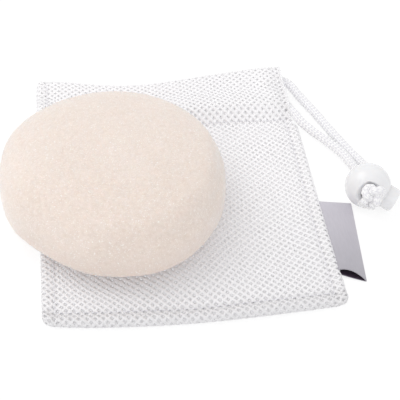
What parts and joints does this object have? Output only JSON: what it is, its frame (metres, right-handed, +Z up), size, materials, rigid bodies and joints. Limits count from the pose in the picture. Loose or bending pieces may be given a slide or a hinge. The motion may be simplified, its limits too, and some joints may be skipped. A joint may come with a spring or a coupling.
{
  "type": "bath sponge",
  "caption": "Thick round puff sponge on its flat mesh drawstring pouch, with a cord run through the mouth's casings, a sprung ball lock and a folded side tab.",
  "frame": {"origin": "the middle of the pouch, on the underside of its lower mesh panel", "axes": "+Y from the near hem to the pouch's drawstring mouth, +Z up through the sponge, +X to the side where the cord and the side tab leave"},
  "size_m": [0.1542, 0.1392, 0.0343],
  "materials": {
    "sponge_foam": "soft matte foam with a fine open grain",
    "net_fabric": "white knitted mesh",
    "knitted_cord": "white knitted cord",
    "satin_tape": "grey satin",
    "lock_plastic": "glossy white",
    "spring_steel": "bright wire"
  },
  "bodies": {
    "pouch": {"front_panel": "net_fabric", "back_panel": "net_fabric", "left_seam": "net_fabric", "right_seam": "net_fabric", "bottom_seam": "net_fabric", "front_casing": "net_fabric", "back_casing": "net_fabric", "label_tab": "satin_tape", "cased_cord": "knitted_cord", "strand_far": "knitted_cord", "strand_near": "knitted_cord", "end_knot": "knitted_cord"},
    "sponge": {"sponge": "sponge_foam"},
    "lock": {"lock_body": "lock_plastic", "lock_spring": "spring_steel"},
    "plunger": {"lock_plunger": "lock_plastic"}
  },
  "joints": [
    {"name": "sponge_lift", "type": "slide", "parent": "pouch", "child": "sponge", "axis": [0, 0, 1], "range_m": [0, 0.06]},
    {"name": "lock_slide", "type": "slide", "parent": "pouch", "child": "lock", "axis": [-0.12, 0.9928, 0], "range_m": [0, 0.018], "deforming": ["strand_far", "strand_near"]},
    {"name": "plunger_press", "type": "slide", "parent": "lock", "child": "plunger", "axis": [-0.8391, 0.4093, 0.3584], "range_m": [0, 0.0022], "stiffness_N_per_m": 1200, "springref_m": -0.001, "deforming": ["lock_spring"]}
  ]
}
